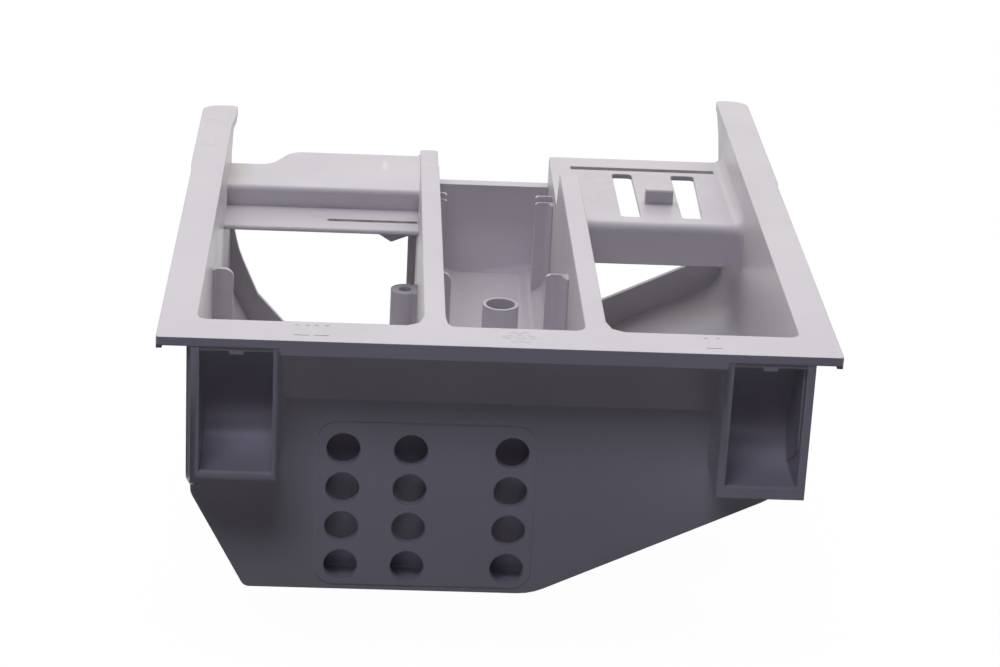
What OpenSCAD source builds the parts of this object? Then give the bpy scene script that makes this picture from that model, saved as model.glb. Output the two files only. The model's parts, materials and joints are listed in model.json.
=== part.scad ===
// Detergent drawer of a washing machine: one moulding in light grey polypropylene.
// It is drawn from the left front top corner of its frame: x to the right, y to the back,
// z down from the top face. The last step puts the origin under the middle of the part.

/* [Top frame] */
// Width over both rails at the front
frame_w = 198.3; // [190:0.1:215]
// Width of the left rail
rail_left_w = 10.8; // [9:0.1:14]
// Width of the right rail
rail_right_w = 10.9; // [9:0.1:14]
// Depth of the front rail
front_rail_d = 15; // [12:0.5:18]
// Thickness of the frame
frame_t = 2.6; // [2:0.1:3]
// Length of the left rail
rail_left_l = 223.4; // [222:0.2:235]
// Length of the right rail
rail_right_l = 251; // [238:0.2:270]
// Radius at the outer corner of a rail's end
rail_end_r = 6; // [1:0.5:7]
// Extra width of a rail's bare rear part
tail_step = 0.5; // [0:0.1:1.5]
// Drop of the lip along each rail's outer edge
edge_lip_drop = 3.8; // [3.2:0.1:7]
// Thickness of the lip along each rail's outer edge
edge_lip_t = 1.7; // [1:0.1:3]
// Length of the lip along each rail's outer edge
edge_lip_l = 153; // [60:1:190]
// Drop of the lip along the front edge
front_lip_drop = 4.7; // [3:0.1:8]
// Thickness of the lip along the front edge
front_lip_t = 2; // [1.2:0.1:3]

/* [Body] */
// Height from the flat bottom to the top face
body_h = 91; // [88:0.5:110]
// Wall thickness
wall = 2.2; // [1.6:0.1:2.8]
// Set-back of the front wall behind the frame's front edge
front_set = 24; // [21:0.5:28]
// Front face of the slanted wall where it leaves the frame
front_top_y = 12.8; // [10:0.2:13.5]
// Depth of the bend where the slanted wall turns upright
front_bend_drop = 28; // [20:0.5:32]
// Depth of the hollow behind the holes
hollow_d = 9.8; // [7:0.2:13]
// Distance from the front edge to the rear wall
rear_y = 200; // [190:1:206]
// Height of the dam in the main wash compartment
dam_h = 14.6; // [8:0.2:24]
// Height of the dam in the pre-wash compartment
dam_pre_h = 11.6; // [8:0.2:20]
// Height of the left knee above the bottom
knee_left_h = 31.2; // [24:0.2:36]
// Height of the right knee above the bottom
knee_right_h = 36.9; // [30:0.2:42]
// Start of the flat bottom, from the left edge of the frame
bottom_x0 = 25.1; // [20:0.5:32]
// End of the flat bottom, from the left edge of the frame
bottom_x1 = 113; // [100:0.5:120]
// Radius under the left knee
knee_left_r = 6; // [3:0.5:12]
// Radius under the right knee
knee_right_r = 14; // [6:0.5:20]
// Radius at the left end of the flat bottom
bottom_left_r = 2.8; // [2.4:0.1:6]
// Radius at the right end of the flat bottom
bottom_right_r = 19; // [5:0.5:25]

/* [Dividers] */
// Left face of the first divider
div1_x = 77; // [72:0.5:80]
// Left face of the second divider
div2_x = 124.3; // [121:0.1:132]
// Width of the top of a divider
div_top_w = 6.3; // [4:0.1:8]
// Length of the high part of the first divider
div1_l = 163; // [150:1:170]
// Length of the high part of the second divider
div2_l = 160; // [150:1:170]
// Drop from the frame to the low rear deck
deck_drop = 14; // [10:0.5:18]
// Slant of a divider's rear edge above the deck
div_slant = 9; // [4:0.5:14]

/* [Left deck] */
// Front edge of the upper shelf
shelf_front_y = 176; // [170:1:185]
// Rear edge of the upper shelf
shelf_rear_y = 215.5; // [212:0.5:219]
// Notch of the rear edge at its left end
shelf_notch_d = 15; // [5:0.5:18]
// Width of that notch
shelf_notch_w = 14; // [8:0.5:20]
// Step down to the lower shelf
shelf_step = 7; // [5:0.5:9]
// Front edge of the lower shelf
shelf_low_y = 154.6; // [146:0.2:162]
// Length of the groove in the lower shelf
shelf_groove_l = 31; // [15:1:50]
// Width of the groove in the lower shelf
shelf_groove_w = 2.2; // [1:0.1:3]
// Rear end of the tab behind the first divider
tab_rear_y = 221; // [219:0.5:226]

/* [Right deck] */
// Front face of the bridge
bridge_front_y = 150; // [140:0.5:155]
// Rear edge of the bridge
bridge_rear_y = 220; // [210:1:228]
// Thickness of the bridge's plate
bridge_t = 1.6; // [1.4:0.1:2.6]
// Depth of the bridge's front face
bridge_face_h = 14.5; // [8:0.5:20]
// Radius along the bridge's front edge
bridge_edge_r = 3; // [1:0.2:4]
// Radius of the cove between the bridge and the right wall
deck_cove_r = 4; // [2:0.5:6]
// Width of a slot
slot_w = 7; // [4:0.2:10]
// Length of a slot
slot_l = 45.5; // [20:0.5:46]
// Widening of the right slot at its rear end
slot_flare = 1.3; // [0:0.1:2]
// Distance between the slots' middles
slot_pitch = 21; // [19:0.2:26]
// Middle of the left slot, from the second divider
slot_from_div = 25.2; // [18:0.1:28]
// Front end of the slots, behind the bridge's front face
slot_set = 7.5; // [5:0.5:9]
// Height of the catch between the slots
catch_h = 5; // [2:0.2:8]
// Width of the catch
catch_w = 9.6; // [6:0.2:11]
// Width of the groove across the deck
groove_w = 3.2; // [1.5:0.1:4]
// Depth of the grooves
groove_d = 1.2; // [0.5:0.1:1.3]

/* [Softener box] */
// Depth of the floor below the top face
soft_floor_drop = 54; // [46:0.5:60]
// Depth of the rear rim below the top face
soft_rim_drop = 23; // [20:0.5:28]
// Width of the rear rim
soft_rim_w = 5.2; // [3.5:0.1:5.4]
// Front face of the rear wall
soft_rear_y = 212; // [208:0.5:212.5]
// Depth of the crease in the rear wall
soft_crease_drop = 35.9; // [32:0.1:40]
// Lean of the rear wall below the crease
soft_lean = 7; // [3:0.5:10]
// Radius of the cove along the left corner of the compartment's floor
soft_cove_left_r = 15; // [4:0.5:17]
// Radius of the cove along the right corner of the compartment's floor
soft_cove_right_r = 11; // [4:0.5:15]
// Outer radius of the siphon tube
siphon_r = 6.1; // [5:0.1:8]
// Bore radius of the siphon tube
siphon_bore_r = 4.9; // [3:0.1:4.9]
// Middle of the siphon tube, from the second divider
siphon_from_div = 19.2; // [15:0.1:28]
// Middle of the siphon tube, from the front edge
siphon_y = 133; // [110:1:160]
// Depth of the tube's mouth below the top face
siphon_top_drop = 38; // [30:0.5:44]
// Reach of the tube below the floor
siphon_tail = 8; // [3:0.5:14]

/* [Pockets at the front] */
// Width of a pocket
pocket_w = 26.2; // [20:0.2:28]
// Thickness of a pocket's side
pocket_wall = 2.5; // [1.8:0.1:3]
// Depth of a pocket's underside below the top face
pocket_h = 45.7; // [36:0.1:50]
// Left edge of the left pocket
pocket_left_x = 10; // [9:0.1:10.8]
// Right edge of the right pocket, from the frame's right edge
pocket_right_x = 7.8; // [7:0.1:8.6]
// Height of the sill at a pocket's mouth
pocket_sill_h = 2.9; // [3:0.1:7]
// Radius at the bottom of a pocket's back
pocket_cove_r = 10; // [4:0.5:16]
// Width of the small stop under the frame in a pocket
stop_w = 4.2; // [2:0.2:6]

/* [Holes in the front wall] */
// Radius of a hole
hole_r = 5.1; // [3:0.1:5.5]
// Distance between the rows
row_pitch = 12.9; // [12:0.1:13.5]
// Rows of holes
rows = 4; // [2:1:4]
// Depth of the top row below the top face
row_top_drop = 44; // [40:0.5:45]
// Middle of the first column, from the left edge of the frame
col1_x = 54.4; // [48:0.1:60]
// Distance from the first to the second column
col2_step = 20.3; // [13:0.1:24]
// Distance from the second to the third column
col3_step = 30.5; // [13:0.1:34]
// Margin of the raised field around the holes
field_edge = 7.9; // [6:0.1:8]
// Height of the raised field
field_t = 0.3; // [0.2:0.1:1]

/* [Bosses and guide ribs] */
// Radius of a screw boss
boss_r = 4.9; // [3.5:0.1:6]
// Radius of the hole in a boss
boss_hole_r = 2.15; // [1:0.05:2.6]
// Depth of a boss's top below the top face
boss_top_drop = 39.5; // [40:0.5:60]
// Distance of the bosses from the front edge
boss_y = 148; // [160:1:185]
// Distance from the first divider to the free boss
boss_from_div = 4; // [2:0.1:5]
// Distance between the two bosses
boss_pitch = 5.3; // [4:0.1:7]
// Depth of a boss's hole
boss_hole_d = 16; // [8:0.5:24]
// Thickness of a guide rib
rib_t = 1.8; // [1.2:0.1:2.6]
// Reach of a guide rib from its wall
rib_reach = 7; // [5.2:0.1:8]
// Depth of the front ribs' tops below the top face
rib_top_drop = 13; // [8:0.5:20]
// Front ribs, from the front edge
rib_front_y = 95; // [60:1:115]
// Rear ribs, from the front edge
rib_rear_y = 187; // [160:1:190]

/* [Hidden] */
$fn = 64;
arc_step = 9;
overlap = 0.6;
moulded_grey = "#cfccd1";
// Faces and edges that several features share
left_in = rail_left_w;
left_out = left_in - wall;
right_in = frame_w - rail_right_w;
right_out = right_in + wall;
div1_in = div1_x + wall;
div2_in = div2_x + wall;
front_in_y = front_set + wall;
hollow_rear_y = front_in_y + hollow_d;
front_lean = (front_set - front_top_y) / (front_bend_drop - frame_t);
lean_t = wall * sqrt(1 + front_lean * front_lean);
body_rear_y = rear_y + wall;
bridge_bottom = -deck_drop - bridge_face_h;
shelf_low_z = -deck_drop - shelf_step;
soft_rear_out = soft_rear_y + soft_rim_w;
soft_floor_z = -soft_floor_drop;
field_x0 = col1_x - field_edge;
field_x1 = col1_x + col2_step + col3_step + field_edge - 0.5;
field_top = -row_top_drop + field_edge + 1;
field_bottom = -row_top_drop - (rows - 1) * row_pitch - field_edge + 1.3;
hollow_x0 = field_x0 - 1;
hollow_x1 = field_x1 + 0.4;
pocket_left_end = pocket_left_x + pocket_w;
pocket_right_end = frame_w - pocket_right_x - pocket_w;
// Rear edges of the side walls under the rails' free ends, as [y, z, radius]
left_tail = [
    [body_rear_y - 1, -10.9, 0],
    [rail_left_l - 2, -2, 1],
    [rail_left_l - 2, -overlap, 0]];
right_tail = [
    [body_rear_y - 1, -deck_drop - 32, 0],
    [rail_right_l - 26, -deck_drop - 12, 6],
    [rail_right_l - 21, -deck_drop - 2.6, 6],
    [rail_right_l - 15, -8.2, 6],
    [rail_right_l - 2.6, -overlap, 0]];

// Unit vector
function unit(v) = v / norm(v);

// Points of the arc of radius b[2] in the corner b between a and c, each [x, y, radius]
function corner_arc(a, b, c) =
    let (p = [b[0], b[1]],
         u = unit([a[0], a[1]] - p),
         w = unit([c[0], c[1]] - p),
         half = acos(max(-1, min(1, u * w))) / 2,
         mid = p + unit(u + w) * b[2] / sin(half),
         s = p + u * b[2] / tan(half) - mid,
         e = p + w * b[2] / tan(half) - mid,
         a0 = atan2(s[1], s[0]),
         turn = atan2(e[1], e[0]) - a0,
         sweep = turn > 180 ? turn - 360 : turn < -180 ? turn + 360 : turn,
         steps = max(2, ceil(abs(sweep) / arc_step)))
    b[2] == 0 ? [p] : [for (i = [0:steps]) mid + b[2] * [cos(a0 + sweep * i / steps), sin(a0 + sweep * i / steps)]];

// Outline with round corners from a list of [x, y, radius]
function rounded(c) =
    let (n = len(c))
    [for (i = [0:n - 1]) each corner_arc(c[(i + n - 1) % n], c[i], c[(i + 1) % n])];

// Corners of a convex outline moved inwards by d
function inset(c, d) =
    let (n = len(c))
    [for (i = [0:n - 1])
        let (p = [c[i][0], c[i][1]],
             a = c[(i + n - 1) % n],
             b = c[(i + 1) % n],
             u = unit([a[0], a[1]] - p),
             w = unit([b[0], b[1]] - p),
             q = p + unit(u + w) * d / sin(acos(u * w) / 2))
        [q[0], q[1], max(0, c[i][2] - d)]];

// Corners of the body's section across the drawer, up to the height top
function body_section(top) = [
    [left_out, top, 0],
    [left_out, knee_left_h - body_h, knee_left_r],
    [bottom_x0, -body_h, bottom_left_r],
    [bottom_x1, -body_h, bottom_right_r],
    [right_out, knee_right_h - body_h, knee_right_r],
    [right_out, top, 0]];

// Height of the floor's upper face at x on the right-hand slope
function slope_z(x) =
    let (rise = knee_right_h / (right_out - bottom_x1))
    (x - bottom_x1) * rise - body_h + wall * sqrt(1 + rise * rise);

// A section given in x and z, carried from y0 to y1
module along_y(y0, y1) {
    translate([0, y1, 0]) rotate([90, 0, 0]) linear_extrude(y1 - y0) children();
}

// A section given in y and z, carried from x0 to x1
module along_x(x0, x1) {
    translate([x0, 0, 0]) rotate([90, 0, 90]) linear_extrude(x1 - x0) children();
}

// A plan given in x and y, from z0 up to z1
module along_z(z0, z1) {
    translate([0, 0, z0]) linear_extrude(z1 - z0) children();
}

// Section of the space inside the walls
module inner_section() {
    polygon(rounded(inset(body_section(wall + 5), wall)));
}

// Everything that is kept inside the outer skin between y0 and y1
module inside_skin(y0, y1) {
    intersection() {
        children();
        along_y(y0, y1) polygon(rounded(body_section(-overlap)));
    }
}

// Front face of the slanted wall at the height z
function slant_y(z) = front_top_y + (-z - frame_t) * front_lean;

// Floor and walls: the front is open above the bend, the rear above the decks
module tub() {
    difference() {
        along_y(front_set, body_rear_y) polygon(rounded(body_section(-overlap)));
        along_y(front_in_y, rear_y) inner_section();
        translate([left_out - 1, front_set - 1, -front_bend_drop])
            cube([right_out - left_out + 2, wall + 2, front_bend_drop + 1]);
        translate([left_in, rear_y - 1, -deck_drop - 1])
            cube([right_in - left_in, wall + 2, deck_drop + 2]);
        translate([div1_in, rear_y - 1, -body_h + wall])
            cube([div2_x - div1_in, wall + 2, body_h]);
    }
}

// Slanted wall from the frame down to the bend
module slanted_wall() {
    along_x(left_out + overlap, right_out - overlap)
        polygon([
            [slant_y(-overlap), -overlap],
            [slant_y(-overlap) + lean_t, -overlap],
            [front_set + lean_t, -front_bend_drop],
            [front_set + lean_t, -front_bend_drop - 2],
            [front_set + overlap, -front_bend_drop - 2],
            [front_set, -front_bend_drop]]);
}

// Box behind the holes: its roof goes on with the slant, its back stands on the floor
module hollow_box() {
    roof_z = -frame_t - (hollow_rear_y - front_top_y) / front_lean;
    inside_skin(front_set, rear_y)
        along_x(hollow_x0 - wall, hollow_x1 + wall)
            polygon([
                [front_set + overlap, -front_bend_drop - overlap],
                [front_set + lean_t, -front_bend_drop],
                [hollow_rear_y + lean_t, roof_z],
                [hollow_rear_y + wall, roof_z - 2],
                [hollow_rear_y + wall, -body_h],
                [front_set + overlap, -body_h]]);
}

// Space behind the holes
module front_hollow() {
    along_x(hollow_x0, hollow_x1)
        polygon([
            [front_in_y, -frame_t - (front_in_y - front_top_y) / front_lean],
            [hollow_rear_y, -frame_t - (hollow_rear_y - front_top_y) / front_lean],
            [hollow_rear_y, -body_h + wall],
            [front_in_y, -body_h + wall]]);
}

// One pocket that takes a plug of the handle panel, with its left edge at x0
module pocket(x0) {
    x1 = x0 + pocket_w;
    mouth = pocket_w - 2 * pocket_wall;
    difference() {
        along_x(x0, x1)
            polygon([
                [0.3, -overlap],
                [0.3, -pocket_h],
                [front_set + overlap, -pocket_h],
                [front_set + overlap, -front_bend_drop],
                [slant_y(-overlap) + overlap, -overlap]]);
        along_x(x0 + pocket_wall, x1 - pocket_wall)
            polygon(rounded([
                [-1, -frame_t, 0],
                [-1, -pocket_h + pocket_sill_h, 0],
                [front_lip_t + 0.3, -pocket_h + pocket_sill_h, 0],
                [front_lip_t + 0.3, -pocket_h + pocket_wall, 0],
                [front_set, -pocket_h + pocket_wall, pocket_cove_r],
                [front_set, -front_bend_drop, 0],
                [slant_y(-frame_t), -frame_t, 0]]));
    }
    translate([x0 + pocket_wall - overlap, 0.8, -front_lip_drop + 0.6])
        cube([mouth + 2 * overlap, front_lip_t, front_lip_drop - frame_t - 0.6 + overlap]);
    translate([x0 + (pocket_w - stop_w) / 2, 0.8, -front_lip_drop - 0.5])
        cube([stop_w, front_lip_t + 0.6, front_lip_drop - frame_t + 0.5 + overlap]);
    translate([x0 + pocket_wall - overlap, 0.3 + front_lip_t / 2, -pocket_h + pocket_sill_h])
        rotate([0, 90, 0])
            cylinder(r = front_lip_t / 2, h = mouth + 2 * overlap);
}

// Right pocket's outer side, which stands clear of the side wall
module pocket_side() {
    along_x(right_out - overlap, frame_w - pocket_right_x)
        polygon([
            [0.3, -overlap],
            [0.3, -pocket_h],
            [front_set + overlap, -pocket_h],
            [front_set + overlap, -overlap]]);
}

// Plan of a rail between its outer edge xo and its inner edge xi, with the length l
module rail_plan(xo, xi, l, widening) {
    out = xo < xi ? -1 : 1;
    xt = xi - out * widening;
    polygon(rounded([
        [xo, 0, 0.8],
        [xi, 0, 0],
        [xi, rear_y + 0.4, 0],
        [xt, rear_y + 12, 0],
        [xt, l, 2],
        [xo + out * tail_step, l, rail_end_r],
        [xo + out * tail_step, edge_lip_l + 4, 0],
        [xo, edge_lip_l, 0]]));
}

// Flat frame: two rails, the front rail and the tops of the dividers
module top_frame() {
    along_z(-frame_t, 0) {
        rail_plan(0, left_in, rail_left_l, 1);
        rail_plan(frame_w, right_in, rail_right_l, 0);
        translate([overlap, 0]) square([frame_w - 2 * overlap, front_rail_d]);
        translate([div1_x, overlap]) square([div_top_w, div1_l - overlap]);
        translate([div2_x, overlap]) square([div_top_w, div2_l - overlap]);
        corner_web(left_in, 1, 3, 3);
        corner_web(div1_x, -1, 5, 8);
        corner_web(div1_x + div_top_w, 1, 2, 8);
        corner_web(div2_x, -1, 3, 3);
        corner_web(div2_x + div_top_w, 1, 5, 8);
        corner_web(right_in, -1, 3, 3);
    }
    for (x = [0, frame_w - edge_lip_t])
        translate([x, 1, -edge_lip_drop]) cube([edge_lip_t, edge_lip_l - 1, edge_lip_drop - overlap]);
    translate([pocket_left_end - overlap, 0, -front_lip_drop])
        cube([pocket_right_end - pocket_left_end + 2 * overlap, front_lip_t, front_lip_drop - overlap]);
}

// Small web in the corner behind the front rail, side gives its direction along x
module corner_web(x, side, w, d) {
    polygon([
        [x - side * overlap, front_rail_d - overlap],
        [x + side * w, front_rail_d - overlap],
        [x + side * w, front_rail_d],
        [x + side * w * 0.3, front_rail_d + d * 0.3],
        [x, front_rail_d + d],
        [x - side * overlap, front_rail_d + d]]);
}

// Side wall from x0 to x1: its front part, down to front_drop, and its rear part with the edge given
module side_wall(x0, x1, front_drop, tail) {
    along_x(x0, x1) {
        polygon(rounded([
            [front_set - 20.5, -overlap, 0],
            [front_set - 20.5, -front_drop, 4],
            [front_set + overlap, -front_drop - 12.4, 0],
            [front_set + 6, -front_drop - 12.4, 0],
            [front_set + 6, -overlap, 0]]));
        polygon(rounded(concat(
            [[rear_y - 6, -overlap, 0],
             [rear_y - 6, tail[0][1] - 3, 0]],
            tail)));
    }
}

// One divider with its left face at x, high up to y = high_l and low behind it
module divider(x, high_l) {
    foot_z = soft_floor_z - wall - 4;
    along_x(x, x + wall)
        polygon([
            [front_set + wall / 2, -body_h],
            [body_rear_y, -body_h],
            [body_rear_y, foot_z],
            [soft_rear_out, foot_z],
            [soft_rear_out, -deck_drop],
            [high_l + div_slant - 2, -deck_drop],
            [high_l - 1, -overlap],
            [slant_y(-overlap) + overlap, -overlap],
            [front_set + wall / 2, -front_bend_drop]]);
}

// Both dividers, cut to the outer skin where they stand on the floor
module dividers() {
    inside_skin(front_top_y, soft_rear_out + 1)
        union() {
            divider(div1_x, div1_l);
            divider(div2_x, div2_l);
        }
    along_z(-deck_drop - wall, -deck_drop + 0.6)
        polygon(rounded([
            [div1_x + 0.8, div1_l - 12, 0],
            [div1_x + div_top_w + 0.8, div1_l - 12, 0],
            [div1_x + div_top_w + 0.8, tab_rear_y, 1.5],
            [div1_x + 0.8, tab_rear_y, 1.5]]));
}

// Stepped shelf over the rear of the main wash compartment
module left_deck() {
    x0 = left_in - overlap;
    x1 = div1_x + overlap;
    notch_x = left_in + shelf_notch_w;
    along_z(-deck_drop - wall, -deck_drop)
        polygon(rounded([
            [x0, shelf_front_y + 2, 0],
            [x1, shelf_front_y + 2, 0],
            [x1, shelf_rear_y, 0],
            [notch_x + 7, shelf_rear_y, 7],
            [notch_x, shelf_rear_y - shelf_notch_d, 7],
            [x0, shelf_rear_y - shelf_notch_d, 0]]));
    along_x(x0, x1)
        polygon(rounded([
            [shelf_front_y, shelf_low_z - 1.4, 0],
            [shelf_front_y + 2, shelf_low_z - 1.4, 0],
            [shelf_front_y + 2, -deck_drop - wall, 0],
            [shelf_front_y + 5, -deck_drop - wall, 0],
            [shelf_front_y + 5, -deck_drop, 0],
            [shelf_front_y, -deck_drop, 2]]));
    along_x(x0, x1)
        polygon(rounded([
            [shelf_low_y, shelf_low_z - 1.4, 0],
            [shelf_front_y + 1, shelf_low_z - 1.4, 0],
            [shelf_front_y + 1, shelf_low_z, 0],
            [shelf_low_y, shelf_low_z, 1.1]]));
}

// Bridge over the rear of the pre-wash compartment, with its turned-down front
module right_deck() {
    x1 = right_in + overlap;
    along_z(-deck_drop - bridge_t, -deck_drop)
        polygon(rounded([
            [div2_x, bridge_front_y + bridge_edge_r + 1, 0],
            [x1, bridge_front_y + bridge_edge_r + 1, 0],
            [x1, bridge_rear_y, 0],
            [div2_x, bridge_rear_y, 2]]));
    along_x(div2_x + wall / 2, x1)
        polygon(rounded([
            [bridge_front_y, bridge_bottom, 0],
            [bridge_front_y + wall, bridge_bottom, 0],
            [bridge_front_y + wall, -deck_drop - bridge_t, 1],
            [bridge_front_y + bridge_edge_r + 2, -deck_drop - bridge_t, 0],
            [bridge_front_y + bridge_edge_r + 2, -deck_drop, 0],
            [bridge_front_y, -deck_drop, bridge_edge_r]]));
    deck_cove();
    catch_x = div2_x + slot_from_div + (slot_pitch - catch_w) / 2 + 0.2;
    catch_y = bridge_front_y + slot_set + slot_l * 0.31;
    along_x(catch_x, catch_x + catch_w)
        polygon(rounded([
            [catch_y, -deck_drop - overlap, 0],
            [catch_y + 4, -deck_drop - overlap, 0],
            [catch_y + 4, -deck_drop + catch_h, 1],
            [catch_y, -deck_drop + catch_h, 1]]));
}

// Section of a cove of the radius c against the right wall, as [distance from an axis, x]
function cove_points(r, c) = rounded([
    [r - 1, overlap, 0],
    [r - 1, -c, 0],
    [r, -c, 0],
    [r, 0, c],
    [r + c, 0, 0],
    [r + c, overlap, 0]]);

// Cove where the bridge meets the right wall: along the deck, round its front edge, down its face
module deck_cove() {
    pts = cove_points(bridge_edge_r - 0.05, deck_cove_r);
    turn_y = bridge_front_y + bridge_edge_r;
    turn_z = -deck_drop - bridge_edge_r;
    translate([right_in, 0, turn_z])
        along_y(turn_y, bridge_rear_y) polygon([for (p = pts) [p[1], p[0]]]);
    translate([right_in, turn_y, turn_z])
        rotate([180, -90, 0])
            rotate_extrude(angle = 90) polygon(pts);
    translate([right_in, turn_y, 0])
        along_z(bridge_bottom, turn_z) polygon([for (p = pts) [p[1], -p[0]]]);
}

// Slots through the bridge and grooves across both decks
module deck_cuts() {
    for (i = [0, 1]) {
        x = div2_x + slot_from_div + i * slot_pitch;
        y = bridge_front_y + slot_set;
        along_z(-deck_drop - wall - 1, -deck_drop + 1)
            polygon(rounded([
                [x - slot_w / 2, y, 1.5],
                [x + slot_w / 2, y, 1.5],
                [x + slot_w / 2 + i * slot_flare, y + slot_l, 1.5],
                [x - slot_w / 2, y + slot_l, 1.5]]));
    }
    translate([div2_x + div_top_w + 1, bridge_rear_y - 10 - groove_w, -deck_drop - groove_d])
        cube([right_in - deck_cove_r - div2_x - div_top_w - 1.3, groove_w, groove_d + 1]);
    translate([div1_x - shelf_groove_l, shelf_low_y + 8, shelf_low_z - groove_d / 2])
        cube([shelf_groove_l - 0.5, shelf_groove_w, groove_d]);
}

// Closed box of the softener compartment: floor, leaning rear wall and rim
module softener_box() {
    x0 = div1_x + wall / 2;
    x1 = div2_x + wall / 2;
    lean_y = soft_rear_y - soft_lean;
    along_x(x0, x1)
        polygon([
            [front_in_y - overlap, soft_floor_z],
            [lean_y, soft_floor_z],
            [soft_rear_y, -soft_crease_drop],
            [soft_rear_y, -soft_rim_drop],
            [soft_rear_out, -soft_rim_drop],
            [soft_rear_out, -soft_rim_drop - wall],
            [soft_rear_y + wall, -soft_rim_drop - wall],
            [soft_rear_y + wall, -soft_crease_drop],
            [lean_y + wall, soft_floor_z - wall],
            [front_in_y - overlap, soft_floor_z - wall]]);
    translate([div2_x - siphon_from_div, siphon_y, soft_floor_z - wall - siphon_tail])
        cylinder(r = siphon_r, h = soft_floor_drop + wall + siphon_tail - siphon_top_drop);
}

// Coves along both lower corners of the softener compartment
module softener_coves() {
    z = soft_floor_z;
    r_max = max(soft_cove_left_r, soft_cove_right_r);
    y0 = hollow_rear_y + wall / 2;
    lean_y = soft_rear_y - soft_lean + 1;
    rise = soft_lean / (soft_floor_drop - soft_crease_drop);
    intersection() {
        along_x(div1_x, div2_in)
            polygon([
                [y0, z - 1],
                [lean_y - rise, z - 1],
                [lean_y + rise * (r_max + 1), z + r_max + 1],
                [y0, z + r_max + 1]]);
        for (side = [[div1_in, 1, soft_cove_left_r], [div2_x, -1, soft_cove_right_r]])
            along_y(y0, soft_rear_y)
                polygon(rounded([
                    [side[0] - side[1] * overlap, z - overlap, 0],
                    [side[0] + side[1] * side[2], z - overlap, 0],
                    [side[0] + side[1] * side[2], z, 0],
                    [side[0], z, side[2]],
                    [side[0], z + side[2], 0],
                    [side[0] - side[1] * overlap, z + side[2], 0]]));
    }
}

// Bore of the siphon tube
module siphon_bore() {
    translate([div2_x - siphon_from_div, siphon_y, soft_floor_z - wall - siphon_tail - 1])
        cylinder(r = siphon_bore_r, h = soft_floor_drop + wall + siphon_tail + 2 - siphon_top_drop);
}

// Openings in the rear wall above each compartment's low dam
module rear_openings() {
    tip_x = div1_x - 8.8;
    dam_z = -body_h + wall + dam_h;
    along_y(rear_y - 1, body_rear_y + 1) {
        difference() {
            polygon(rounded([
                [left_in + 0.6, -35, 0],
                [left_in + 3, -46.8, 40],
                [left_in + 10, dam_z + 11, 1.5],
                [left_in + 19.8, dam_z, 2],
                [div1_x - 2.8, dam_z, 2],
                [div1_x - 2.8, -35, 2]]));
            polygon(rounded([
                [tip_x - 12, -34, 0],
                [tip_x, -41.5, 1],
                [tip_x + 5, -39.4, 0],
                [tip_x + 8, -38.4, 0],
                [tip_x + 8, -34, 0]]));
        }
        polygon(rounded([
            [div2_in + 1, -deck_drop - 1, 0],
            [div2_in + 1, slope_z(div2_in + 1) + dam_pre_h, 1.5],
            [right_in - 3, slope_z(right_in - 3) + dam_pre_h, 2],
            [right_in - 3, -deck_drop - 1, 0]]));
    }
}

// A guide rib on the wall at x, from z0 up to z1, that reaches out to the side given and has a
// wedge of the length foot in front
module guide_rib(x, side, y, z0, z1, reach, tip_r, foot) {
    xe = x + side * reach;
    xr = x - side * overlap;
    intersection() {
        along_z(z0, z1)
            polygon([
                [xr, y - foot],
                [x + side * 0.06 * reach, y - foot],
                [x + side * (0.06 + 0.12 * foot) * reach, y],
                [xe, y],
                [xe, y + rib_t],
                [xr, y + rib_t]]);
        along_y(y - reach, y + 2 * rib_t)
            polygon(rounded([
                [xr - side * 0.1, z0 - 1, 0],
                [xe + side * 0.1, z0 - 1, 0],
                [xe + side * 0.1, z1, tip_r],
                [xr - side * 0.1, z1, tip_r / 3]]));
    }
}

// All guide ribs: front pair and rear pair in the softener box, one in the main compartment
module guide_ribs() {
    base = soft_floor_z - wall / 2;
    guide_rib(div1_in, 1, rib_front_y, base, -rib_top_drop, rib_reach + 0.6, 4, 3.6);
    guide_rib(div2_x, -1, rib_front_y, base, -rib_top_drop, rib_reach, 1.5, 3.6);
    for (step = [0, 1]) {
        z1 = -deck_drop - 4.2 - 1.5 * step;
        y = rib_rear_y - step * (rib_t + 0.6);
        guide_rib(div1_in, 1, y, base, z1, rib_reach + 1, 1.2, 0.3 + 2.4 * step);
        guide_rib(div2_x, -1, y, base, z1, rib_reach - 1, 1.2, 0.3 + 2.4 * step);
    }
    inside_skin(front_in_y, rear_y)
        guide_rib(left_in, 1, rib_front_y, -body_h, -rib_top_drop - 1.5, rib_reach - 0.6, 3, 1.2);
}

// Twin screw boss beside the first divider
module bosses() {
    free_x = div1_x - boss_from_div;
    boss_z = -body_h + wall / 2;
    difference() {
        intersection() {
            for (x = [free_x, free_x + boss_pitch])
                translate([x, boss_y, boss_z])
                    cylinder(r = boss_r, h = body_h - wall / 2 - boss_top_drop);
            translate([free_x - 2 * boss_r, boss_y - 2 * boss_r, -body_h])
                cube([div1_x + wall / 2 - free_x + 2 * boss_r, 4 * boss_r, body_h]);
        }
        translate([free_x, boss_y, -boss_top_drop - boss_hole_d])
            cylinder(r = boss_hole_r, h = boss_hole_d + 1);
    }
}

// Raised field with the rows of holes on the front wall
module hole_field() {
    along_y(front_set - field_t, front_set + wall / 2)
        polygon(rounded([
            [field_x0, field_top, 6],
            [field_x1, field_top, 6],
            [field_x1, field_bottom, 6],
            [field_x0, field_bottom, 6]]));
}

// The round holes through the front wall
module holes() {
    for (x = [col1_x, col1_x + col2_step, col1_x + col2_step + col3_step])
        for (i = [0:rows - 1])
            translate([x, front_set + wall + 0.5, -row_top_drop - i * row_pitch])
                rotate([90, 0, 0])
                    cylinder(r = hole_r, h = wall + field_t + 1);
}

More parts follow.
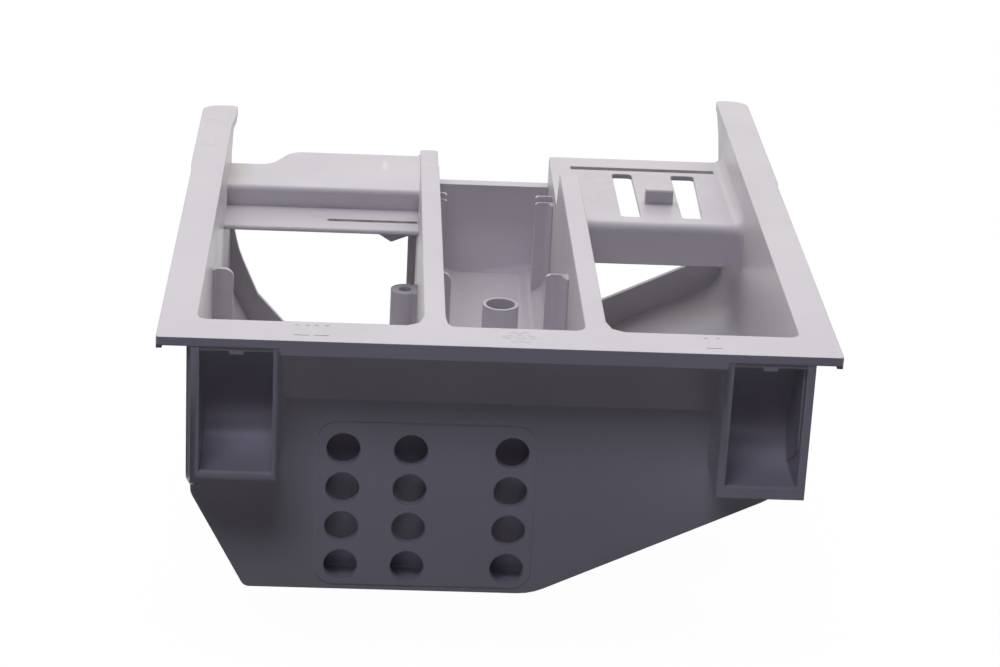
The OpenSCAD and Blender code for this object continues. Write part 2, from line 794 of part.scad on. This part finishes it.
// The whole moulding, stood on its flat bottom
module drawer_body() {
    color(moulded_grey)
        translate([-frame_w / 2, -rail_right_l / 2, body_h])
            difference() {
                union() {
                    difference() {
                        tub();
                        rear_openings();
                    }
                    slanted_wall();
                    hollow_box();
                    pocket(pocket_left_x);
                    pocket(frame_w - pocket_right_x - pocket_w);
                    pocket_side();
                    top_frame();
                    side_wall(left_out, left_in, pocket_h - 0.2, left_tail);
                    side_wall(right_in, right_out, pocket_h - 13.7, right_tail);
                    dividers();
                    left_deck();
                    right_deck();
                    softener_box();
                    softener_coves();
                    guide_ribs();
                    bosses();
                    hole_field();
                }
                front_hollow();
                holes();
                deck_cuts();
                siphon_bore();
            }
}

drawer_body();
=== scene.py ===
"""Looks of a washing machine's detergent drawer around its CAD frame.

The drawer is one moulding in light grey polypropylene. The scene shows it with the soft edges that
a mould leaves, with its wear and dirt and with the raised marks of its three compartments. It
stands on a table in a light tent that is open towards the camera, with one lamp overhead and one
high in front.
"""

import json
import logging
import math
from dataclasses import dataclass
from enum import Enum
from typing import Any

import bmesh
import bpy
import numpy as np
from mathutils import Matrix, Vector

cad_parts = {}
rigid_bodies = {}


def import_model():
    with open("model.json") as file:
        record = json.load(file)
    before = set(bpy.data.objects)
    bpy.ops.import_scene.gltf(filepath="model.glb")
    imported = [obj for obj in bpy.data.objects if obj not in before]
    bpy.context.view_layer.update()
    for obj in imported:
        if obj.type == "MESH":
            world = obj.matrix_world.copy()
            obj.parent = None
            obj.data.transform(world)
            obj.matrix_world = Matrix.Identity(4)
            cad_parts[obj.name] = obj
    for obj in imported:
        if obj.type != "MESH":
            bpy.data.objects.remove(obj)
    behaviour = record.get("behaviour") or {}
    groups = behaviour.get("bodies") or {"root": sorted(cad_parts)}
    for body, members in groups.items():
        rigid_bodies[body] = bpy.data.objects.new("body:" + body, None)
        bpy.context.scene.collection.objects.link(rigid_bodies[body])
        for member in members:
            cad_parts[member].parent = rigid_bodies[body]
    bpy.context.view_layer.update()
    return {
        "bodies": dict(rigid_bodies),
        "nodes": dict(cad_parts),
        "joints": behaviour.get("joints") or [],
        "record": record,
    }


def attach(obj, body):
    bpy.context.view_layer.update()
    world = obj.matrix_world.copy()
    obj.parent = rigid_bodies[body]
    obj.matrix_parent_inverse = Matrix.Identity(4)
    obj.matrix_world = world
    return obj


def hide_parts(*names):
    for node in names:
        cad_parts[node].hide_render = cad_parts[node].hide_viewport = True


LOG = logging.getLogger("drawer")
MM = 0.001

# A Mix node has sockets of one name for each kind of data, and these places are the colours' own
MIX_FIRST = 6
MIX_SECOND = 7
MIX_RESULT = 2

# Points in metres, and faces as lists of places among them
Surface = tuple[np.ndarray, list[list[int]]]


def linear(colour: str) -> tuple[float, float, float, float]:
    """Turn an sRGB hex colour into the linear colour that a shader takes.

    The curve is the sRGB standard's own: straight near black, and a power of 2.4 above that.

    Args:
        colour: Six hex digits after a hash sign.

    Returns:
        Red, green and blue as linear light, and an alpha of 1.
    """
    parts = np.array([int(colour[i : i + 2], 16) for i in (1, 3, 5)]) / 255.0
    low = parts / 12.92
    high = ((parts + 0.055) / 1.055) ** 2.4
    rgb = np.where(parts <= 0.04045, low, high)
    return (float(rgb[0]), float(rgb[1]), float(rgb[2]), 1.0)


def add_node(
    tree: bpy.types.NodeTree,
    kind: str,
    inputs: dict[str | int, Any] | None = None,
    **settings: Any,
) -> bpy.types.Node:
    """Add one shader node with its settings, its values and its links.

    Args:
        tree: The node tree that takes the node.
        kind: The node's type name in Blender.
        inputs: Values or output sockets for the node's inputs, by name, or by place where two
            inputs share a name.
        settings: Properties of the node itself.

    Returns:
        The new node.
    """
    node = tree.nodes.new(kind)
    for name, value in settings.items():
        setattr(node, name, value)
    for key, value in (inputs or {}).items():
        if isinstance(value, bpy.types.NodeSocket):
            tree.links.new(value, node.inputs[key])
        else:
            node.inputs[key].default_value = value
    return node


def add_object(name: str, data: bpy.types.ID) -> bpy.types.Object:
    """Put a mesh, a camera or a lamp into the scene as an object at the origin.

    Args:
        name: The object's name.
        data: The mesh, camera or lamp.

    Returns:
        The new object.
    """
    thing = bpy.data.objects.new(name, data)
    bpy.context.scene.collection.objects.link(thing)
    return thing


def shade_by_angle(mesh: bpy.types.Mesh, edge_angle: float) -> None:
    """Shade a mesh smoothly, but for edges where its faces meet at more than an angle.

    Args:
        mesh: The mesh.
        edge_angle: The angle in degrees.
    """
    mesh.polygons.foreach_set("use_smooth", np.ones(len(mesh.polygons), bool))
    mesh.set_sharp_from_angle(angle=math.radians(edge_angle))


@dataclass(frozen=True)
class Frame:
    """Where the drawer's front left top corner lies in the row frame, in millimetres."""

    left: float = -99.15
    front: float = -125.5
    top: float = 91.0

    def place(self, points: np.ndarray) -> np.ndarray:
        """Move points in millimetres from that corner into the row frame in metres.

        Args:
            points: Rows of x to the right, y to the back and z up.

        Returns:
            The same points in metres in the row frame.
        """
        return (points + np.array([self.left, self.front, self.top])) * MM


@dataclass(frozen=True)
class Stain:
    """A soft-edged patch of another colour, given by a box in the drawer's own millimetres."""

    name: str
    low: tuple[float, float, float]
    high: tuple[float, float, float]
    colour: str
    # How much of the surface it covers, from 0 to 1
    strength: float
    # How many millimetres outside the box it fades out
    soft: float


@dataclass(frozen=True)
class MouldedPolypropylene:
    """Light grey polypropylene as it comes from a polished and lightly worn mould.

    It gives the eye an even grey with a trace of lilac, a broad soft sheen, a very fine orange
    peel, and brown residue of washing powder where water stood.
    """

    base: str = "#d8d5d8"
    shade: str = "#d1cdd1"
    roughness: float = 0.36
    # Polypropylene has a refractive index of 1.49, and its moulded skin reflects a little less
    ior: float = 1.41
    # The mould's tool left every edge rounded over about 0.6 mm
    edge_mm: float = 0.6
    name: str = "moulded_polypropylene_light_grey"
    # Blotches of slightly other grey are about 40 mm across, and run from a little glossier to a
    # little duller over this span of their noise
    blotch_mm: float = 40.0
    blotch_span: tuple[float, float] = (0.3, 0.7)
    glossier: float = 0.05
    duller: float = 0.06
    # The peel's waves are about 1.2 mm apart and hardly rise
    peel_mm: float = 1.2
    peel_height_mm: float = 0.2
    peel_strength: float = 0.06
    # Each stain lies in crumbs of about 4 mm: its cover grows from this least share to the whole
    # over this span of their noise
    crumb_mm: float = 4.0
    crumb_span: tuple[float, float] = (0.3, 0.65)
    crumb_least: float = 0.35
    stains: tuple[Stain, ...] = ()

    def build(self, frame: Frame) -> bpy.types.Material:
        """Make the material.

        Args:
            frame: Turns the stains' places into the row frame.

        Returns:
            The finished material.
        """
        material = bpy.data.materials.new(self.name)
        material.use_nodes = True
        tree = material.node_tree
        tree.nodes.clear()
        place = add_node(tree, "ShaderNodeTexCoord").outputs["Object"]
        blotch = add_node(
            tree,
            "ShaderNodeTexNoise",
            {
                "Vector": place,
                "Scale": 1.0 / (self.blotch_mm * MM),
                "Detail": 3.0,
                "Roughness": 0.55,
            },
        )
        colour = add_node(
            tree,
            "ShaderNodeMix",
            {
                "Factor": blotch.outputs["Fac"],
                MIX_FIRST: linear(self.base),
                MIX_SECOND: linear(self.shade),
            },
            data_type="RGBA",
        ).outputs[MIX_RESULT]
        for stain in self.stains:
            colour = self._stained(tree, place, colour, stain, frame)
        peel = add_node(
            tree,
            "ShaderNodeTexNoise",
            {
                "Vector": place,
                "Scale": 1.0 / (self.peel_mm * MM),
                "Detail": 2.0,
                "Roughness": 0.5,
            },
        )
        relief = {
            "Height": peel.outputs["Fac"],
            "Strength": self.peel_strength,
            "Distance": self.peel_height_mm * MM,
        }
        if self.edge_mm > 0:
            rounded = add_node(tree, "ShaderNodeBevel", {"Radius": self.edge_mm * MM}, samples=6)
            relief["Normal"] = rounded.outputs[0]
        bump = add_node(tree, "ShaderNodeBump", relief)
        wear = add_node(
            tree,
            "ShaderNodeMapRange",
            {
                "Value": blotch.outputs["Fac"],
                "From Min": self.blotch_span[0],
                "From Max": self.blotch_span[1],
                "To Min": self.roughness - self.glossier,
                "To Max": self.roughness + self.duller,
            },
        )
        shader = add_node(
            tree,
            "ShaderNodeBsdfPrincipled",
            {
                "Base Color": colour,
                "Roughness": wear.outputs[0],
                "IOR": self.ior,
                "Normal": bump.outputs[0],
            },
        )
        add_node(tree, "ShaderNodeOutputMaterial", {"Surface": shader.outputs[0]})
        return material

    def _stained(
        self,
        tree: bpy.types.NodeTree,
        place: bpy.types.NodeSocket,
        colour: bpy.types.NodeSocket,
        stain: Stain,
        frame: Frame,
    ) -> bpy.types.NodeSocket:
        """Lay one stain over a colour.

        The cover is 1 inside the stain's box and falls to 0 over its soft edge: the distance
        outside the box along each axis is joined to one length, and a noise breaks it into crumbs.

        Args:
            tree: The material's node tree.
            place: Object coordinates.
            colour: The colour below the stain.
            stain: The patch.
            frame: Turns the stain's box into the row frame.

        Returns:
            The colour with the stain on it.
        """
        corners = frame.place(np.array([stain.low, stain.high]))
        middle = corners.mean(0)
        half = (corners[1] - corners[0]) / 2
        offset = add_node(
            tree,
            "ShaderNodeVectorMath",
            {0: place, 1: tuple(middle)},
            operation="SUBTRACT",
        )
        size = add_node(tree, "ShaderNodeVectorMath", {0: offset.outputs[0]}, operation="ABSOLUTE")
        beyond = add_node(
            tree,
            "ShaderNodeVectorMath",
            {0: size.outputs[0], 1: tuple(half)},
            operation="SUBTRACT",
        )
        outside = add_node(
            tree,
            "ShaderNodeVectorMath",
            {0: beyond.outputs[0], 1: (0.0, 0.0, 0.0)},
            operation="MAXIMUM",
        )
        length = add_node(tree, "ShaderNodeVectorMath", {0: outside.outputs[0]}, operation="LENGTH")
        ragged = add_node(
            tree,
            "ShaderNodeTexNoise",
            {
                "Vector": place,
                "Scale": 1.0 / (self.crumb_mm * MM),
                "Detail": 4.0,
                "Roughness": 0.6,
            },
        )
        cover = add_node(
            tree,
            "ShaderNodeMapRange",
            {
                "Value": length.outputs["Value"],
                "From Min": 0.0,
                "From Max": stain.soft * MM,
                "To Min": 1.0,
                "To Max": 0.0,
            },
            interpolation_type="SMOOTHSTEP",
        )
        broken = add_node(
            tree,
            "ShaderNodeMapRange",
            {
                "Value": ragged.outputs["Fac"],
                "From Min": self.crumb_span[0],
                "From Max": self.crumb_span[1],
                "To Min": self.crumb_least,
                "To Max": 1.0,
            },
        )
        both = add_node(
            tree,
            "ShaderNodeMath",
            {0: cover.outputs[0], 1: broken.outputs[0]},
            operation="MULTIPLY",
        )
        amount = add_node(
            tree,
            "ShaderNodeMath",
            {0: both.outputs[0], 1: stain.strength},
            operation="MULTIPLY",
        )
        return add_node(
            tree,
            "ShaderNodeMix",
            {
                "Factor": amount.outputs[0],
                MIX_FIRST: colour,
                MIX_SECOND: linear(stain.colour),
            },
            data_type="RGBA",
            label=stain.name,
        ).outputs[MIX_RESULT]


@dataclass
class DrawerBody:
    """The moulding: the CAD solid's own shape, clean for shading.

    The copy's loose triangles are merged and flat faces joined. Faces that meet under edge_angle
    shade as one curve, flat faces keep their own normal, and the material rounds what is sharper.
    """

    material: bpy.types.Material
    node: str = "drawer_body"
    # Angles in degrees: where shading breaks, and how far joined faces may tilt
    edge_angle: float = 32.0
    flat_angle: float = 0.3
    merge_mm: float = 0.004
    # From 1 to 100: at 100 the largest faces set the normals
    face_weight: int = 100

    def build(self, source: bpy.types.Object) -> bpy.types.Object:
        """Make the dressed moulding.

        Args:
            source: The CAD node's object, which stays as it is.

        Returns:
            The new object, which stands for the node.
        """
        mesh = source.data.copy()
        mesh.name = "moulding"
        piece = add_object("drawer_moulding", mesh)
        self._join_faces(mesh)
        self._shade(piece)
        mesh.materials.clear()
        mesh.materials.append(self.material)
        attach(piece, "root")
        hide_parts(self.node)
        LOG.info("%s: %d faces", piece.name, len(mesh.polygons))
        return piece

    def _join_faces(self, mesh: bpy.types.Mesh) -> None:
        """Merge the triangles' doubled corners and join triangles that lie in one plane.

        Args:
            mesh: A copy of the CAD node's mesh.
        """
        work = bmesh.new()
        work.from_mesh(mesh)
        bmesh.ops.remove_doubles(work, verts=work.verts[:], dist=self.merge_mm * MM)
        bmesh.ops.dissolve_limit(
            work,
            angle_limit=math.radians(self.flat_angle),
            verts=work.verts[:],
            edges=work.edges[:],
        )
        work.to_mesh(mesh)
        work.free()

    def _shade(self, piece: bpy.types.Object) -> None:
        """Shade faces smoothly up to the edge angle and let large faces set the normals.

        Args:
            piece: The moulding.
        """
        shade_by_angle(piece.data, self.edge_angle)
        shading = piece.modifiers.new("flat_faces_stay_flat", "WEIGHTED_NORMAL")
        shading.mode = "FACE_AREA"
        shading.weight = self.face_weight
        shading.keep_sharp = True


class Mark(Enum):
    """The compartments' marks on the front rail, and a plain panel on the left rail's end."""

    MAIN_WASH = "main_wash"
    SOFTENER = "softener"
    PRE_WASH = "pre_wash"
    RAIL_PANEL = "rail_panel"


@dataclass(frozen=True)
class Bar:
    """One upright bar with a foot and a head, in the drawer's millimetres."""

    # Its middle, to the right and to the back
    x: float
    y: float
    # Its length from the foot's end to the head's
    tall: float = 8.6
    # The width of the foot and the head, the width between them, and their depth
    foot: float = 4.2
    stem: float = 2.0
    thick: float = 0.9


@dataclass(frozen=True)
class Flower:
    """A flower of plain petals round an oval heart, in the drawer's millimetres."""

    # Its middle, to the right and to the back
    x: float
    y: float
    reach: float = 4.3
    petals: int = 6
    # The share of the reach by which the petals swell and shrink
    swell: float = 0.2
    # The flower is a little wider than it is long
    widened: float = 1.12
    # Half the heart's width and half its length
    heart: tuple[float, float] = (1.4, 1.2)
    steps: int = 120
    # The heart takes every fourth of the steps
    heart_every: int = 4


@dataclass(frozen=True)
class Panel:
    """The outline of a plain panel with rounded corners, in the drawer's millimetres."""

    low: tuple[float, float]
    high: tuple[float, float]
    radius: float
    # Its ridge's width and height as a share of the other marks' own
    share: float = 0.5
    corner_steps: int = 8


@dataclass
class CompartmentMarks:
    """Low raised marks: two bars, one bar and a flower in front, and a panel on the left rail.

    A bar is a flat block with a foot and a head. The other strokes are ridges with a half-round
    section, width wide and height high. Each mark's root lies inside the rail.
    """

    frame: Frame
    material: bpy.types.Material
    main_wash: tuple[Bar, ...] = (Bar(41.5, 9.1), Bar(47.2, 9.2))
    pre_wash: Bar = Bar(161.0, 8.8, foot=4.8, stem=2.4)
    softener: Flower = Flower(104.7, 8.6)
    rail_panel: Panel = Panel((1.9, 177.0), (6.1, 206.0), 1.2)
    width: float = 0.7
    height: float = 0.1
    root: float = 0.05
    section_steps: int = 8
    edge_angle: float = 40.0

    def build(self) -> list[bpy.types.Object]:
        """Make the marks.

        Returns:
            One object for each mark.
        """
        panel = self.rail_panel
        shapes = {
            Mark.MAIN_WASH: [self._block(bar) for bar in self.main_wash],
            Mark.PRE_WASH: [self._block(self.pre_wash)],
            Mark.SOFTENER: [self._ridge(path) for path in self._petals(self.softener)],
            Mark.RAIL_PANEL: [self._ridge(self._rim(panel), panel.share)],
        }
        return [self._mesh(f"mark_{mark.value}", parts) for mark, parts in shapes.items()]

    def _block(self, bar: Bar) -> Surface:
        """Carry a bar's outline straight up from its root to the marks' height.

        Args:
            bar: The bar.

        Returns:
            The block's points in metres and its faces.
        """
        wide, slim, end = bar.foot / 2, bar.stem / 2, bar.tall / 2
        inner = end - bar.thick
        right = np.array(
            [
                (wide, -end),
                (wide, -inner),
                (slim, -inner),
                (slim, inner),
                (wide, inner),
                (wide, end),
            ]
        )
        outline = np.concatenate([right, right[::-1] * (-1, 1)]) + (bar.x, bar.y)
        count = len(outline)
        low = np.column_stack([outline, np.full(count, -self.root)])
        high = np.column_stack([outline, np.full(count, self.height)])
        ring = np.arange(count)
        after = np.roll(ring, -1)
        sides = np.stack([ring, after, after + count, ring + count], 1).tolist()
        ends = [ring[::-1].tolist(), (ring + count).tolist()]
        return self.frame.place(np.concatenate([low, high])), sides + ends

    @staticmethod
    def _petals(flower: Flower) -> list[np.ndarray]:
        """Work out the closed paths of a flower's rim and of its heart.

        The rim's radius is the reach times 1 less the swell plus the swell times the cosine of
        petals times the angle, so it swells once for each petal. The heart is an ellipse.

        Args:
            flower: The flower.

        Returns:
            Rows of x and y in the drawer's millimetres for each path.
        """
        turn = np.linspace(0, 2 * math.pi, flower.steps, endpoint=False)
        beat = 1 - flower.swell + flower.swell * np.cos(flower.petals * turn)
        radius = flower.reach * beat
        rim = np.stack([flower.widened * radius * np.cos(turn), radius * np.sin(turn)], 1)
        few = turn[:: flower.heart_every]
        heart = np.stack([np.cos(few), np.sin(few)], 1) * flower.heart
        return [rim + (flower.x, flower.y), heart + (flower.x, flower.y)]

    @staticmethod
    def _rim(panel: Panel) -> np.ndarray:
        """Work out the closed path round a panel.

        Each corner is a quarter circle: its centre lies the radius inside both sides, and the
        angle runs on by a quarter turn from corner to corner.

        Args:
            panel: The panel.

        Returns:
            Rows of x and y in the drawer's millimetres.
        """
        near = np.array(panel.low) + panel.radius
        far = np.array(panel.high) - panel.radius
        centres = np.array([far, (near[0], far[1]), near, (far[0], near[1])])
        quarter = np.linspace(0, math.pi / 2, panel.corner_steps + 1)
        angle = quarter[None, :] + np.arange(len(centres))[:, None] * math.pi / 2
        arcs = panel.radius * np.stack([np.cos(angle), np.sin(angle)], 2)
        return (centres[:, None, :] + arcs).reshape(-1, 2)

    def _ridge(self, path: np.ndarray, share: float = 1.0) -> Surface:
        """Carry a half-round section with a flat root round a flat closed path.

        A point at angle a of the section lies half the width times cos(a) beside the path and the
        height times sin(a) above the rail. The section's last two points are its root.

        Args:
            path: Rows of x and y in the drawer's millimetres, the first not repeated at the end.
            share: The ridge's width and height as a share of the marks' own.

        Returns:
            The ridge's points in metres and its faces.
        """
        along = np.roll(path, -1, axis=0) - np.roll(path, 1, axis=0)
        along = along / np.linalg.norm(along, axis=1)[:, None]
        side = np.stack([-along[:, 1], along[:, 0]], 1)
        angle = np.linspace(math.pi, 0, self.section_steps + 1)
        across = np.append(np.cos(angle), [1.0, -1.0]) * self.width * share / 2
        up = np.append(np.sin(angle) * self.height * share, [-self.root, -self.root])
        flat = path[:, None, :] + side[:, None, :] * across[None, :, None]
        lift = np.broadcast_to(up[None, :, None], flat.shape[:2] + (1,))
        points = self.frame.place(np.concatenate([flat, lift], 2).reshape(-1, 3))
        index = np.arange(len(points)).reshape(flat.shape[:2])
        grid = np.pad(index, ((0, 1), (0, 1)), mode="wrap")
        faces = np.stack([grid[:-1, :-1], grid[1:, :-1], grid[1:, 1:], grid[:-1, 1:]], -1)
        return points, faces.reshape(-1, 4).tolist()

    def _mesh(self, name: str, parts: list[Surface]) -> bpy.types.Object:
        """Join the blocks or ridges of one mark into an object that rides on the drawer.

        Args:
            name: The object's name.
            parts: The blocks or ridges.

        Returns:
            The new object.
        """
        points = np.concatenate([part_points for part_points, _ in parts])
        faces = []
        start = 0
        for part_points, part_faces in parts:
            faces += [[start + i for i in face] for face in part_faces]
            start += len(part_points)
        mesh = bpy.data.meshes.new(name)
        mesh.from_pydata(points.tolist(), [], faces)
        shade_by_angle(mesh, self.edge_angle)
        mesh.materials.append(self.material)
        piece = add_object(name, mesh)
        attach(piece, "root")
        LOG.info("%s: %d faces", name, len(mesh.polygons))
        return piece


@dataclass(frozen=True)
class PhotoCamera:
    """The photograph's point of view, from a fit to the drawer's outline corners.

    The angles turn the drawer's axes into the camera's in this order: yaw about the upright axis,
    pitch about the horizontal one, roll about the line of sight.
    """

    place: tuple[float, float, float] = (58.92, -744.42, 301.49)
    yaw: float = -3.0308
    pitch: float = 21.7325
    roll: float = 2.9540
    focal_px: float = 2800.0
    width_px: float = 1000.0
    sensor: float = 36.0
    # The nearest and the farthest distance that shows, in metres
    clip: tuple[float, float] = (0.05, 50.0)

    def build(self, frame: Frame) -> bpy.types.Object:
        """Make the camera and give it to the scene.

        Args:
            frame: Turns the camera's place into the row frame.

        Returns:
            The camera.
        """
        data = bpy.data.cameras.new("photo_camera")
        data.sensor_width = self.sensor
        data.lens = self.focal_px / self.width_px * self.sensor
        data.clip_start, data.clip_end = self.clip
        camera = add_object("photo_camera", data)
        camera.matrix_world = self._matrix(frame)
        bpy.context.scene.camera = camera
        return camera

    def _matrix(self, frame: Frame) -> Matrix:
        """Work out the camera's matrix: its columns are the picture's right, up and back axes.

        Args:
            frame: Turns the camera's place into the row frame.

        Returns:
            The matrix, four rows of four.
        """
        upright = self._turned(-self.yaw, 0, 1)
        ahead = np.array([[1, 0, 0], [0, 0, -1], [0, 1, 0]])
        tilt = self._turned(self.pitch, 1, 2)
        turn = self._turned(self.roll, 0, 1)
        view = turn @ tilt @ ahead @ upright
        full = np.eye(4)
        full[:3, :3] = (np.diag([1, -1, -1]) @ view).T
        full[:3, 3] = frame.place(np.array(self.place))
        return Matrix(full.tolist())

    @staticmethod
    def _turned(angle: float, first: int, second: int) -> np.ndarray:
        """Work out the matrix that turns the first of two axes towards the second.

        Args:
            angle: The angle in degrees.
            first: The first axis, 0 for x, 1 for y or 2 for z.
            second: The second axis.

        Returns:
            Three rows of three.
        """
        cosine = math.cos(math.radians(angle))
        sine = math.sin(math.radians(angle))
        turn = np.eye(3)
        turn[np.ix_((first, second), (first, second))] = [[cosine, -sine], [sine, cosine]]
        return turn


@dataclass(frozen=True)
class SoftLight:
    """One rectangular lamp that looks at a point of the drawer, in metres and watts."""

    name: str
    place: tuple[float, float, float]
    size: tuple[float, float]
    power: float
    colour: str = "#ffffff"
    target: tuple[float, float, float] = (0.0, 0.0, 0.05)

    def build(self) -> bpy.types.Object:
        """Make the lamp.

        Returns:
            The lamp.
        """
        data = bpy.data.lights.new(self.name, "AREA")
        data.shape = "RECTANGLE"
        data.size, data.size_y = self.size
        data.energy = self.power
        data.color = linear(self.colour)[:3]
        lamp = add_object(self.name, data)
        lamp.location = self.place
        way = Vector(self.target) - Vector(self.place)
        lamp.rotation_euler = way.to_track_quat("-Z", "Y").to_euler()
        return lamp


@dataclass
class Studio:
    """A table in a light tent that is open to the dark room on the camera's side.

    The tent is the sky: it shines evenly from above, from both sides and from behind. Towards the
    front it goes dark, between the two values that tent_edge gives for a direction's part along
    the drawer's y axis, and below the table too, between those of horizon for its part along z.
    The table's own colour is dark, so that it throws little light on the drawer's front.
    """

    table: str = "#3d3b4a"
    table_size: float = 8.0
    # The table lies this far under the drawer's flat bottom, in metres
    table_drop: float = 0.0002
    camera_white: float = 0.975
    tent: float = 1.28
    tent_edge: tuple[float, float] = (-0.15, 0.1)
    horizon: tuple[float, float] = (-0.05, 0.1)
    tent_colour: str = "#fffcfc"
    lamps: tuple[SoftLight, ...] = (
        SoftLight("overhead", (0.0, 0.15, 1.20), (0.9, 0.6), 2.1),
        SoftLight("front_fill", (-0.2, -0.88, 1.12), (0.6, 0.4), 2.95, "#dedcfb"),
    )

    def build(self) -> None:
        """Set up the table, the lamps and the tent."""
        self._table()
        for lamp in self.lamps:
            lamp.build()
        self._tent()

    def _tent(self) -> None:
        """Light the sky: it looks white to the camera and through clear materials."""
        world = bpy.data.worlds.new("light_tent")
        bpy.context.scene.world = world
        world.use_nodes = True
        tree = world.node_tree
        tree.nodes.clear()
        way = add_node(tree, "ShaderNodeTexCoord").outputs["Generated"]
        parts = add_node(tree, "ShaderNodeSeparateXYZ", {"Vector": way})
        behind = add_node(
            tree,
            "ShaderNodeMapRange",
            {
                "Value": parts.outputs["Y"],
                "From Min": self.tent_edge[0],
                "From Max": self.tent_edge[1],
                "To Min": 0.0,
                "To Max": self.tent,
            },
            interpolation_type="SMOOTHSTEP",
        )
        above = add_node(
            tree,
            "ShaderNodeMapRange",
            {
                "Value": parts.outputs["Z"],
                "From Min": self.horizon[0],
                "From Max": self.horizon[1],
            },
        )
        shine = add_node(
            tree,
            "ShaderNodeMath",
            {0: behind.outputs[0], 1: above.outputs[0]},
            operation="MULTIPLY",
        )
        rays = add_node(tree, "ShaderNodeLightPath")
        seen = add_node(
            tree,
            "ShaderNodeMath",
            {0: rays.outputs["Is Camera Ray"], 1: rays.outputs["Is Transmission Ray"]},
            operation="MAXIMUM",
        )
        strength = add_node(
            tree,
            "ShaderNodeMix",
            {"Factor": seen.outputs[0], "A": shine.outputs[0], "B": 1.0},
        )
        air = add_node(
            tree,
            "ShaderNodeBackground",
            {"Color": linear(self.tent_colour), "Strength": strength.outputs[0]},
        )
        add_node(tree, "ShaderNodeOutputWorld", {"Surface": air.outputs[0]})

    def _table(self) -> None:
        """Lay the table: it keeps the drawer's shadow.

        It looks white to the camera, in reflections and through clear materials.
        """
        half = self.table_size / 2
        mesh = bpy.data.meshes.new("table")
        corners = [(-half, -half), (half, -half), (half, half), (-half, half)]
        mesh.from_pydata([(x, y, -self.table_drop) for x, y in corners], [], [(0, 1, 2, 3)])
        table = add_object("table", mesh)
        material = bpy.data.materials.new("white_table")
        material.use_nodes = True
        tree = material.node_tree
        tree.nodes.clear()
        rays = add_node(tree, "ShaderNodeLightPath")
        seen = add_node(
            tree,
            "ShaderNodeMath",
            {0: rays.outputs["Is Camera Ray"], 1: rays.outputs["Is Glossy Ray"]},
            operation="MAXIMUM",
        )
        through = add_node(
            tree,
            "ShaderNodeMath",
            {0: seen.outputs[0], 1: rays.outputs["Is Transmission Ray"]},
            operation="MAXIMUM",
        )
        plain = add_node(tree, "ShaderNodeBsdfDiffuse", {"Color": linear(self.table)})
        glow = add_node(
            tree,
            "ShaderNodeEmission",
            {"Color": linear("#ffffff"), "Strength": self.camera_white},
        )
        bright = add_node(tree, "ShaderNodeAddShader", {0: plain.outputs[0], 1: glow.outputs[0]})
        mix = add_node(
            tree,
            "ShaderNodeMixShader",
            {0: through.outputs[0], 1: plain.outputs[0], 2: bright.outputs[0]},
        )
        add_node(tree, "ShaderNodeOutputMaterial", {"Surface": mix.outputs[0]})
        mesh.materials.append(material)


STAINS = (
    Stain("bridge_groove", (131.0, 206.7, -15.4), (183.2, 210.1, -14.3), "#b5ad9c", 0.6, 0.5),
    Stain("shelf_groove", (45.5, 162.5, -22.4), (77.2, 164.9, -21.2), "#a2987f", 0.85, 0.5),
    Stain("shelf_scuff", (65.0, 199.5, -14.2), (65.2, 207.5, -13.8), "#f6f4f6", 0.4, 1.4),
    # A faint, soft patch of darker grey in the drawer's own hue over the middle of the bridge deck
    Stain("bridge_deck_darker_grey", (139.0, 168.0, -15.0), (176.0, 200.0, -14.0), "#a9a4a8", 0.24, 14.0),
    Stain("rear_yellowing", (11.0, 188.0, -15.0), (14.0, 202.0, -13.0), "#c3bba8", 0.45, 6.0),
)


def main() -> None:
    """Build the drawer's looks, the studio and the camera."""
    logging.basicConfig(level=logging.INFO, format="%(message)s")
    bpy.context.scene.view_settings.view_transform = "Standard"
    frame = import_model()
    corner = Frame()
    PhotoCamera().build(corner)
    finish = MouldedPolypropylene(stains=STAINS).build(corner)
    # The marks are too low for the rounding of edges, so theirs is left out
    crisp = MouldedPolypropylene(edge_mm=0.0, name="moulded_polypropylene_marks").build(corner)
    DrawerBody(finish).build(frame["nodes"]["drawer_body"])
    CompartmentMarks(corner, crisp).build()
    Studio().build()


if __name__ == "__main__":
    main()
